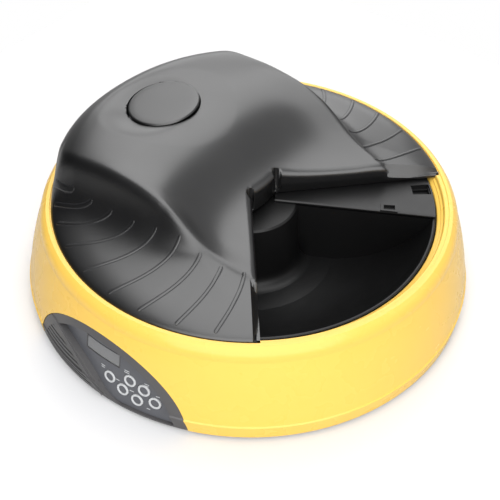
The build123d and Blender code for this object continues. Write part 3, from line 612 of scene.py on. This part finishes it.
def face_up(mesh):
    """Point the faces of an open skin upwards."""
    mesh.normal_update()
    if sum(face.normal.z for face in mesh.faces) < 0:
        bmesh.ops.reverse_faces(mesh, faces=mesh.faces)


thicken(piece("lid_moulding", make_lid(), "lid_black", "lid", ["lid_shell"]), LID_WALL)


# ------------------------------------------------------------------ ribs of the wings
RIB_PLACES = [
    (92.5, 53.5, 60.3), (89.8, 62.9, 71.0), (87.2, 72.5, 82.2), (85.5, 83.1, 92.6), (88.4, 94.9, 104.0),
    (94.0, 105.4, 115.3), (101.7, 115.6, 125.2), (111.2, 123.9, 132.6), (121.5, 130.9, 138.6),
]
RIB_OUTER_RADIUS = 136.6
RIB_SWEEP = 1.4
RIB_ROWS = 34


def rib_point(rank, share, side):
    """Point on the middle line of a wing rib; share runs from its inner end, 0, to its outer end, 1."""
    inner, start, end = RIB_PLACES[rank]
    r = inner + (RIB_OUTER_RADIUS - inner) * share
    turn = radians(start + (end - start) * max(0.0, share) ** RIB_SWEEP)
    return Vector((r * cos(turn), side * r * sin(turn), 0))


def lay_strip(mesh, rank, side, half_width, profile):
    """Round-ended strip along a rib, laid on the lid; profile gives (share of half width, lift) pairs."""
    made = bmesh.ops.create_grid(mesh, x_segments=RIB_ROWS, y_segments=len(profile) - 1, size=1.0)["verts"]
    length = (rib_point(rank, 1, side) - rib_point(rank, 0, side)).length
    for vert in made:
        share = (1 - cos(pi * (vert.co.x + 1) / 2)) / 2
        spread, lift = profile[round((vert.co.y + 1) / 2 * (len(profile) - 1))]
        near = min(share, 1 - share) * length
        width = half_width * sqrt(max(0.0, 1 - max(0.0, 1 - near / half_width) ** 2))
        ahead = rib_point(rank, share + 0.01, side) - rib_point(rank, share - 0.01, side)
        across = Vector((-ahead.y, ahead.x, 0)).normalized()
        place = rib_point(rank, share, side) + across * (width * spread)
        if near < 0.001:
            lift = profile[0][1]
        vert.co = (place.x, place.y, lid_skin(place.x, place.y) + lift)


def make_ribs(half_width, profile):
    """All strips of both wings in one mesh."""
    mesh = bmesh.new()
    for side in (-1, 1):
        for rank in range(len(RIB_PLACES)):
            lay_strip(mesh, rank, side, half_width, profile)
    face_outwards(mesh, 2, 1)
    return mesh


RIB_PROFILE = [
    (-1.0, -0.25), (-0.92, 0.30), (-0.72, 0.42), (0.0, 0.45), (0.72, 0.42), (0.92, 0.30), (1.0, -0.25),
]
# Painted shade: each rib gets a slightly wider, less glossy near-black strip laid just above the lid. Its
# edges show past the rib as a thin dark outline, standing in for the shaded groove beside the rib, which is
# not modelled.
RIB_SHADE_PROFILE = [(-1.0, -0.10), (-0.94, 0.07), (0.0, 0.07), (0.94, 0.07), (1.0, -0.10)]
STRIP_BACKING = 0.5
for name, half_width, profile, finish in (
    ("wing_ribs", 1.05, RIB_PROFILE, "lid_black"), ("wing_rib_painted_shade", 1.5, RIB_SHADE_PROFILE, "sensor_black"),
):
    thicken(piece(name, make_ribs(half_width, profile), finish, "lid"), STRIP_BACKING)


# ------------------------------------------------------------------ panel keys and marks
def panel_frame(azimuth, height, offset=0.0):
    """Matrix of a place on the fascia: X to the right, Y up the slope, Z outwards."""
    turn = radians(azimuth - 90)
    lean = radians(FASCIA_TILT)
    radius = FASCIA_FOOT_RADIUS - height * sin(lean) / cos(lean)
    out = Vector((cos(turn) * cos(lean), sin(turn) * cos(lean), sin(lean)))
    right = Vector((-sin(turn), cos(turn), 0))
    axes = Matrix((right, out.cross(right), out)).transposed()
    origin = Vector((radius * cos(turn), radius * sin(turn), height)) + out * offset
    return Matrix.Translation(origin) @ axes.to_4x4()


def turned_mesh(profile, steps=64):
    """Body spun about Z from a closed or axis-ended profile of (radius, height) pairs."""
    mesh = bmesh.new()
    verts, edges = outline(mesh, [(r, 0, z) for r, z in profile])
    bmesh.ops.spin(
        mesh, geom=verts + edges, cent=(0, 0, 0), axis=(0, 0, 1), angle=2 * pi, steps=steps, use_merge=True,
    )
    bmesh.ops.remove_doubles(mesh, verts=mesh.verts, dist=0.0001)
    bmesh.ops.recalc_face_normals(mesh, faces=mesh.faces)
    return mesh


RING_PROFILE = [
    (0.0, -0.3), (2.95, -0.3), (3.0, 0.32), (3.15, 0.48), (3.4, 0.56), (3.75, 0.59), (4.1, 0.56),
    (4.35, 0.46), (4.5, 0.30), (4.56, 0.1), (4.56, -2.4), (1.6, -2.4), (1.6, -4.55), (0.0, -4.55),
]
CENTRE_PROFILE = [(0.0, 0.24), (2.0, 0.22), (2.6, 0.14), (2.9, -0.02), (2.93, -0.28), (0.0, -0.28)]
for number, place in enumerate(BUTTON_PLACES, start=1):
    for name, profile, finish, replaced in (
        (f"button_{number}_ring", RING_PROFILE, "button_pale", [f"button_{number}"]),
        (f"button_{number}_centre", CENTRE_PROFILE, "fascia_grey", []),
    ):
        key = turned_mesh(profile)
        bmesh.ops.transform(key, matrix=panel_frame(*place), verts=key.verts)
        piece(name, key, finish, f"key_{number}", replaced)


# ------------------------------------------------------------------ cover plate of the tray's solid sector
PLATE_TOP = 68.0
PLATE_TURNS = (31.0, 61.0)
PLATE_RADII = (18.0, 131.6)
SOCKET_FRAME = (92.9, 105.0, 31.15, 35.3)
SOCKET_HOLE = (95.1, 103.1, 31.95, 34.75)
FINGER_RECESS = (117.3, 130.6, 41.4, 46.2)
PLATE_RIM_DEPTH = 2.0
PLATE_BACKING = 0.4
FRONT_ROUNDING = 1.0
SOCKET_FRAME_LIFT = 0.55
SOCKET_FLOOR_DROP = 1.5
RECESS_FLOOR_DROP = 5.0
STEP = 0.12
STEP_TURN = STEP / 1.8


def band(start, end, count):
    """Evenly spread values from start up to, but without, end."""
    return [start + (end - start) * i / count for i in range(count)]


def inside(r, turn, area):
    """Whether a place lies in an area given by two radii and two azimuths."""
    return area[0] - 0.01 < r < area[1] + 0.01 and area[2] - 0.001 < turn < area[3] + 0.001


def plate_rows():
    """Radii and azimuths of the plate's grid, with a pair of close rows at each step in its height."""
    rows = []
    for first, full, count, close in ((0, PLATE_RADII, 60, STEP), (2, PLATE_TURNS, 36, STEP_TURN)):
        values = band(*full, count) + [full[1]]
        for area, outside in ((SOCKET_FRAME, True), (SOCKET_HOLE, False), (FINGER_RECESS, False)):
            low, high = area[first], area[first + 1]
            shift = -close if outside else close
            values += [low, low + shift, high, high - shift]
        rows.append(sorted(values))
    return rows


def trimmed(area):
    """An area less one step at each side."""
    return area[0] + STEP, area[1] - STEP, area[2] + STEP_TURN, area[3] - STEP_TURN


def plate_height(r, turn):
    """Top of the plate: rounded front edge, framed socket and finger recess."""
    front = r * sin(radians(turn - PLATE_TURNS[0]))
    if inside(r, turn, trimmed(SOCKET_HOLE)):
        return PLATE_TOP - SOCKET_FLOOR_DROP
    if inside(r, turn, SOCKET_FRAME):
        return PLATE_TOP + SOCKET_FRAME_LIFT
    if inside(r, turn, trimmed(FINGER_RECESS)):
        return PLATE_TOP - RECESS_FLOOR_DROP
    return PLATE_TOP - FRONT_ROUNDING * (1 - sqrt(1 - max(0.0, 1 - front / FRONT_ROUNDING) ** 2))


def make_plate():
    """Grid bent to a sector, pressed to its heights, with a rim turned down all round."""
    mesh = bmesh.new()
    radii, azimuths = plate_rows()
    made = bmesh.ops.create_grid(mesh, x_segments=len(radii) - 1, y_segments=len(azimuths) - 1, size=1.0)
    for vert in made["verts"]:
        r = radii[round((vert.co.x + 1) / 2 * (len(radii) - 1))]
        turn = azimuths[round((vert.co.y + 1) / 2 * (len(azimuths) - 1))]
        vert.co = (r * cos(radians(turn)), r * sin(radians(turn)), plate_height(r, turn))
    border = [edge for edge in mesh.edges if edge.is_boundary]
    grown = bmesh.ops.extrude_edge_only(mesh, edges=border)["geom"]
    for vert in (item for item in grown if isinstance(item, bmesh.types.BMVert)):
        vert.co.z = PLATE_TOP - PLATE_RIM_DEPTH
    face_up(mesh)
    return mesh


thicken(piece("sector_cover", make_plate(), "cover_black", "tray", ["sector_plate"], 30), PLATE_BACKING)


# ------------------------------------------------------------------ release disc of the lid
DISC_PROFILE = [
    (0.0, 0.0), (20.0, 0.0), (24.4, -0.02), (25.0, -0.12), (25.5, -0.38), (25.85, -0.8), (DISC_RADIUS, -1.4),
    (24.8, -2.6), (24.4, -2.6), (24.4, -2.2), (0.0, -2.2),
]
STEM_X = -79.5
STEM_PROFILE = [(0.0, 114.4), (4.4, 114.4), (4.4, 102.4), (4.0, 102.0), (0.0, 102.0)]
disc = turned_mesh(DISC_PROFILE, 128)
lean_axis = Vector((sin(radians(DISC_HIGH_SIDE)), -cos(radians(DISC_HIGH_SIDE)), 0))
lean_turn = Matrix.Rotation(radians(DISC_TILT), 4, lean_axis)
bmesh.ops.transform(disc, matrix=Matrix.Translation((DISC_X, DISC_Y, DISC_Z)) @ lean_turn, verts=disc.verts)
piece("release_disc", disc, "lid_black", "release_button", ["lid_button"])
stem = turned_mesh(STEM_PROFILE, 32)
bmesh.ops.translate(stem, verts=stem.verts, vec=(STEM_X, 0, 0))
piece("release_stem", stem, "lid_black", "release_button")


# ------------------------------------------------------------------ rounded edge of the tray
TRAY_RIM_RADIUS = 130.75
TRAY_RIM_WIDTH = 2.3
TRAY_RIM_Z = 65.15
TRAY_RIM_RISE = 0.8
BEAD_ROOT = 0.3
BEAD_STEPS = 10


def half_round(middle, width, foot, rise):
    """Closed half-round profile of (radius, height) pairs."""
    half = width / 2
    turns = [pi * i / BEAD_STEPS for i in range(BEAD_STEPS + 1)]
    arc = [(middle + half * cos(turn), foot + rise * sin(turn)) for turn in turns]
    return arc + [(middle - half, foot - BEAD_ROOT), (middle + half, foot - BEAD_ROOT), arc[0]]


rim_profile = half_round(TRAY_RIM_RADIUS, TRAY_RIM_WIDTH, TRAY_RIM_Z, TRAY_RIM_RISE)
piece("tray_rim_bead", turned_mesh(rim_profile, 192), "tray_black", "tray")


# ------------------------------------------------------------------ generic marks of the panel
MARK_WIDTH = 0.55
MARK_LIFT = 0.16
MARK_GAP = 0.03
MARK_CORNER = 0.25
MARKS = [
    (0.6, 26.4, 3.4), (0.6, 24.9, 2.6), (7.9, 32.6, 3.8), (7.9, 31.1, 4.2), (5.4, 21.4, 2.8),
    (13.6, 28.6, 3.6), (13.6, 27.2, 3.0), (9.6, 18.0, 3.4), (16.8, 21.8, 3.6), (14.4, 9.0, 2.6),
]
DISPLAY_Z = 37.0
DISPLAY_SHIFT = 0.2
DISPLAY_CONE_RADIUS = 151.8
DISPLAY_FRAME_WIDTH, DISPLAY_FRAME_HEIGHT, DISPLAY_FRAME_RIM = 30.2, 11.0, 0.7
DISPLAY_FRAME_LIFT = 0.28
DISPLAY_FRAME_CROWN = 0.3
DISPLAY_FRAME_BACKING = 0.4


def make_marks():
    """Short printed dashes beside the keys, which stand for their legends."""
    mesh = bmesh.new()
    for azimuth, height, length in MARKS:
        made = bmesh.ops.create_cube(mesh, size=1.0)["verts"]
        bmesh.ops.scale(mesh, vec=(length, MARK_WIDTH, MARK_LIFT), verts=made)
        bmesh.ops.transform(mesh, matrix=panel_frame(azimuth, height, MARK_GAP), verts=made)
    corners = [edge for edge in mesh.edges if edge.calc_length() < MARK_LIFT + 0.01]
    bmesh.ops.bevel(
        mesh, geom=corners, offset=MARK_CORNER, affect="EDGES", segments=3, profile=0.5, material=-1,
    )
    return mesh


def make_display_frame():
    """Slim raised frame around the display window, wrapped on the fascia's cone."""
    mesh = bmesh.new()
    half_width, half_height = DISPLAY_FRAME_WIDTH / 2, DISPLAY_FRAME_HEIGHT / 2
    hole_width, hole_height = half_width - DISPLAY_FRAME_RIM, half_height - DISPLAY_FRAME_RIM
    signs = [(-1, -1), (1, -1), (1, 1), (-1, 1)]
    corners = [(x * half_width, y * half_height) for x, y in signs]
    inner = [(x * hole_width, y * hole_height) for x, y in signs]
    for side in range(4):
        after = (side + 1) % 4
        quad = bmesh.ops.create_grid(mesh, x_segments=24, y_segments=2, size=1.0)["verts"]
        for vert in quad:
            along, across = (vert.co.x + 1) / 2, (vert.co.y + 1) / 2
            start = Vector(corners[side]).lerp(Vector(inner[side]), across)
            end = Vector(corners[after]).lerp(Vector(inner[after]), across)
            place = start.lerp(end, along)
            azimuth = degrees(asin((place.x + DISPLAY_SHIFT) / DISPLAY_CONE_RADIUS))
            lift = DISPLAY_FRAME_LIFT - DISPLAY_FRAME_CROWN * abs(across - 0.5)
            vert.co = panel_frame(azimuth, DISPLAY_Z + place.y, lift).translation
    bmesh.ops.remove_doubles(mesh, verts=mesh.verts, dist=0.001)
    face_outwards(mesh, 1, -1)
    return mesh


thicken(piece("display_frame", make_display_frame(), "bezel_grey", "base"), DISPLAY_FRAME_BACKING)
piece("panel_marks", make_marks(), "button_pale", "base")


# ------------------------------------------------------------------ camera and studio
CAMERA_TURN = 38
CAMERA_ELEVATION = 44.820
CAMERA_ROLL = 1.269
CAMERA_DISTANCE = 0.78894
FRAME_WIDTH = 500
FOCAL_LENGTH = 1041.325
AIM_RIGHT, AIM_UP = -1.787, 15.013
SENSOR_WIDTH = 36.0
AIM_HEIGHT = 0.06


def place_camera():
    """Camera of the catalogue view: above the panel's right, looking down at the mouth."""
    tilt = radians(CAMERA_ELEVATION)
    roll = radians(CAMERA_ROLL)
    forward = Vector((0, cos(tilt), -sin(tilt)))
    level = Vector((1, 0, 0))
    upright = level.cross(forward)
    position = -forward * CAMERA_DISTANCE
    right = level * cos(roll) + upright * sin(roll)
    up = -level * sin(roll) + upright * cos(roll)
    pan = atan2(AIM_RIGHT, FOCAL_LENGTH)
    nod = atan2(AIM_UP, FOCAL_LENGTH)
    ahead = forward * cos(pan) - right * sin(pan)
    right = right * cos(pan) + forward * sin(pan)
    forward = ahead * cos(nod) + up * sin(nod)
    up = up * cos(nod) - ahead * sin(nod)
    turn = Matrix.Rotation(radians(CAMERA_TURN), 3, "Z")
    axes = Matrix((turn @ right, turn @ up, -(turn @ forward))).transposed()
    data = bpy.data.cameras.new("catalogue_camera")
    data.sensor_width = SENSOR_WIDTH
    data.lens = FOCAL_LENGTH * SENSOR_WIDTH / FRAME_WIDTH
    data.clip_start = 0.05
    camera = bpy.data.objects.new("catalogue_camera", data)
    bpy.context.scene.collection.objects.link(camera)
    camera.matrix_world = Matrix.Translation(turn @ position) @ axes.to_4x4()
    bpy.context.scene.camera = camera


def soft_box(name, azimuth, elevation, distance, width, height, power):
    """Rectangular lamp aimed at the middle of the feeder; azimuth is counted from the camera's right."""
    turn = radians(azimuth + CAMERA_TURN)
    rise = radians(elevation)
    place = Vector((cos(turn) * cos(rise), sin(turn) * cos(rise), sin(rise))) * distance
    data = bpy.data.lights.new(name, "AREA")
    data.shape = "RECTANGLE"
    data.size = width
    data.size_y = height
    data.energy = power
    lamp = bpy.data.objects.new(name, data)
    bpy.context.scene.collection.objects.link(lamp)
    aim = (Vector((0, 0, AIM_HEIGHT)) - place).to_track_quat("-Z", "Y")
    lamp.matrix_world = Matrix.Translation(place) @ aim.to_matrix().to_4x4()


ROOM_LIGHT = 0.12
ROOM_BRIGHT_SIDE = 0.50
ROOM_DARK_SIDE = 0.02
ROOM_TURN_START, ROOM_TURN_END = 0.30, 0.80
FLOOR_HALF_WIDTH = 0.36
FLOOR_TONE = rgba(0.55, 0.55, 0.55)
FLOOR_SEEN_TONE = rgba(0.80, 0.80, 0.81)
FLOOR_GLOW = 0.12


def make_studio():
    """Air and floor that are white to the camera, with a dim room whose left side mirrors dark."""
    world = bpy.data.worlds.new("studio_air")
    bpy.context.scene.world = world
    world.use_nodes = True
    tree = world.node_tree
    tree.nodes.clear()
    path = tree.nodes.new("ShaderNodeLightPath")
    seen = tree.nodes.new("ShaderNodeMath")
    seen.operation = "MAXIMUM"
    tree.links.new(path.outputs["Is Camera Ray"], seen.inputs[0])
    tree.links.new(path.outputs["Is Transmission Ray"], seen.inputs[1])
    direction = tree.nodes.new("ShaderNodeTexCoord")
    leftness = tree.nodes.new("ShaderNodeVectorMath")
    leftness.operation = "DOT_PRODUCT"
    leftness.inputs[1].default_value = (-cos(radians(CAMERA_TURN)), -sin(radians(CAMERA_TURN)), 0.0)
    tree.links.new(direction.outputs["Generated"], leftness.inputs[0])
    mirrored = tree.nodes.new("ShaderNodeMapRange")
    mirrored.inputs["From Min"].default_value = ROOM_TURN_START
    mirrored.inputs["From Max"].default_value = ROOM_TURN_END
    mirrored.inputs["To Min"].default_value = ROOM_BRIGHT_SIDE
    mirrored.inputs["To Max"].default_value = ROOM_DARK_SIDE
    tree.links.new(leftness.outputs["Value"], mirrored.inputs["Value"])
    around = tree.nodes.new("ShaderNodeMix")
    around.inputs[2].default_value = ROOM_LIGHT
    tree.links.new(path.outputs["Is Glossy Ray"], around.inputs[0])
    tree.links.new(mirrored.outputs[0], around.inputs[3])
    strength = tree.nodes.new("ShaderNodeMix")
    strength.inputs[3].default_value = 1.0
    tree.links.new(seen.outputs[0], strength.inputs[0])
    tree.links.new(around.outputs[0], strength.inputs[2])
    sky = tree.nodes.new("ShaderNodeBackground")
    sky.inputs["Color"].default_value = rgba(1, 1, 1)
    tree.links.new(strength.outputs[0], sky.inputs["Strength"])
    out = tree.nodes.new("ShaderNodeOutputWorld")
    tree.links.new(sky.outputs[0], out.inputs["Surface"])

    floor_mesh = bmesh.new()
    bmesh.ops.create_grid(floor_mesh, x_segments=1, y_segments=1, size=FLOOR_HALF_WIDTH)
    data = bpy.data.meshes.new("studio_floor")
    floor_mesh.to_mesh(data)
    floor_mesh.free()
    floor = bpy.data.objects.new("studio_floor", data)
    bpy.context.scene.collection.objects.link(floor)
    finish = Finish("floor_white")
    glow = finish.node("ShaderNodeEmission", None, {"Color": rgba(1, 1, 1), "Strength": 1.0})
    seen_ray = finish.node("ShaderNodeLightPath")
    finish.set(
        Base_Color=finish.mix(seen_ray, FLOOR_TONE, FLOOR_SEEN_TONE),
        Roughness=0.9,
        Specular_IOR_Level=0.1,
    )
    both = finish.node(
        "ShaderNodeMixShader", None,
        {0: seen_ray * FLOOR_GLOW, 1: Wire(finish, finish.surface.outputs[0]), 2: glow},
    )
    finish.tree.links.new(both.socket, finish.tree.nodes["Material Output"].inputs["Surface"])
    data.materials.append(finish.material)


place_camera()
make_studio()
soft_box("overhead_box", 88, 75, 1.55, 1.5, 3.2, 38)
soft_box("front_box", -86, 27, 1.9, 3.0, 2.0, 50)
soft_box("right_box", -8, 26, 1.8, 0.8, 0.9, 1.5)
soft_box("back_box", 92, 12, 2.2, 2.0, 0.8, 8)

bpy.context.scene.view_settings.view_transform = "Standard"
